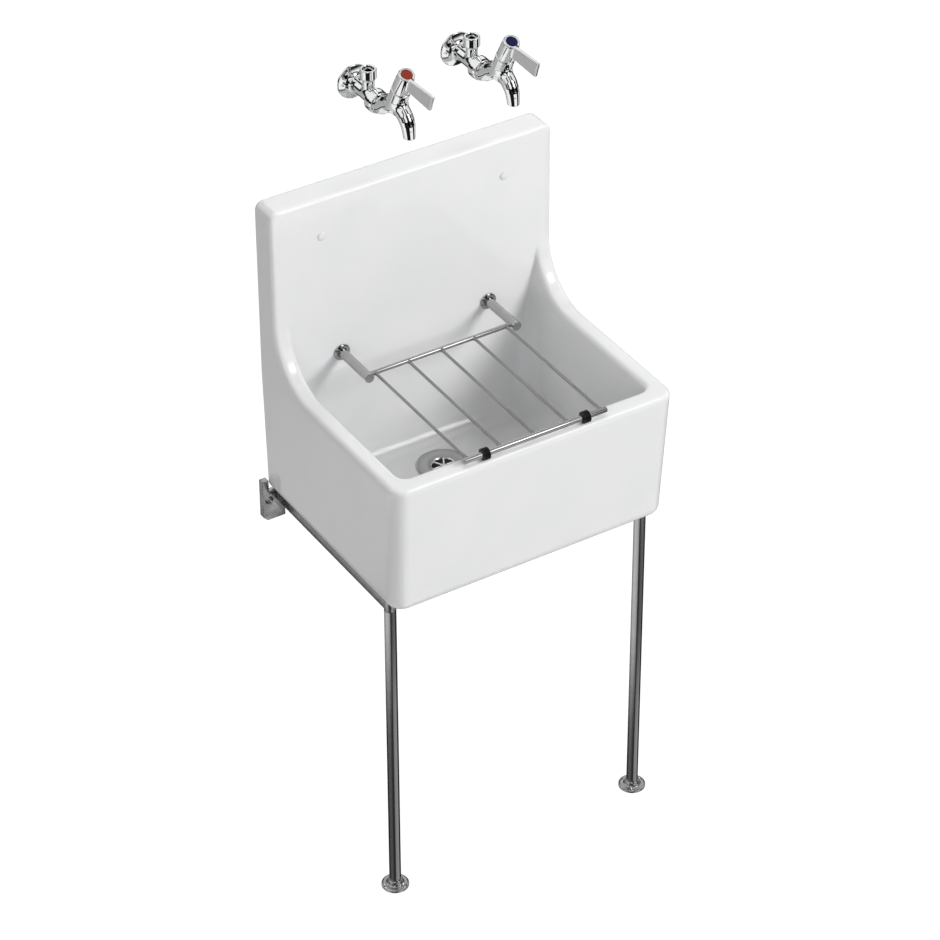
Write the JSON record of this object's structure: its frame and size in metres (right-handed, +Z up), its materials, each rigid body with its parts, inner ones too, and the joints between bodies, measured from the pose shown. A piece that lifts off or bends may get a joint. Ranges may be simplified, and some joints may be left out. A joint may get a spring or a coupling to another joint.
{
  "type": "utility laundry sink",
  "caption": "Wall-hung fireclay utility sink with upstand, hinged bucket grating, strainer waste, bearers on front legs and lever bib taps.",
  "frame": {"origin": "on the wall plane, on the sink's centre line, level with the rim of the bowl", "axes": "+X to the user's right, +Y into the wall, +Z up"},
  "size_m": [0.54, 0.416, 1.4039],
  "materials": {
    "fireclay": "white glaze, glossy",
    "white_plastic": "glossy",
    "white_foam": "matt foam",
    "stainless": "polished stainless steel",
    "tube_steel": "drawn stainless tube, satin",
    "bearer_alloy": "cast, satin",
    "fastener_steel": "plain steel",
    "chrome": "bright chromium plate",
    "brass": "machined",
    "black_rubber": "matt black rubber",
    "red_index": "glossy",
    "blue_index": "glossy"
  },
  "bodies": {
    "root": {"sink_body": "fireclay", "screw_caps": "white_plastic", "waste_flange": "stainless", "waste_seal": "white_foam", "waste_washer": "black_rubber", "waste_backnut": "brass", "left_bearer": "bearer_alloy", "right_bearer": "bearer_alloy", "left_leg": "tube_steel", "right_leg": "tube_steel", "left_foot": "chrome", "right_foot": "chrome", "foot_set_screws": "fastener_steel", "roses": "stainless", "left_post": "stainless", "right_post": "stainless", "post_studs": "fastener_steel", "stud_washers": "fastener_steel", "stud_nuts": "fastener_steel", "hot_elbow": "chrome", "hot_union_nut": "chrome", "hot_union_washer": "black_rubber", "hot_body": "chrome", "hot_headwork": "brass", "cold_elbow": "chrome", "cold_union_nut": "chrome", "cold_union_washer": "black_rubber", "cold_body": "chrome", "cold_headwork": "brass"},
    "grating": {"hinge_rod": "stainless", "grating_bars": "stainless", "front_rail": "stainless", "rail_rings": "black_rubber"},
    "hot_handle": {"hot_spindle": "brass", "hot_lever": "chrome", "hot_lever_screw": "fastener_steel", "hot_index": "red_index"},
    "cold_handle": {"cold_spindle": "brass", "cold_lever": "chrome", "cold_lever_screw": "fastener_steel", "cold_index": "blue_index"}
  },
  "joints": [
    {"name": "grating_hinge", "type": "hinge", "parent": "root", "child": "grating", "pos_m": [0, -0.128, 0.0103], "axis": [-1, 0, 0], "range_deg": [0, 103]},
    {"name": "hot_lever_turn", "type": "hinge", "parent": "root", "child": "hot_handle", "pos_m": [-0.076, -0.128, 0.485], "axis": [0, 0.4384, -0.8988], "range_deg": [0, 90]},
    {"name": "cold_lever_turn", "type": "hinge", "parent": "root", "child": "cold_handle", "pos_m": [0.11, -0.128, 0.485], "axis": [0, -0.4384, 0.8988], "range_deg": [0, 90]}
  ]
}
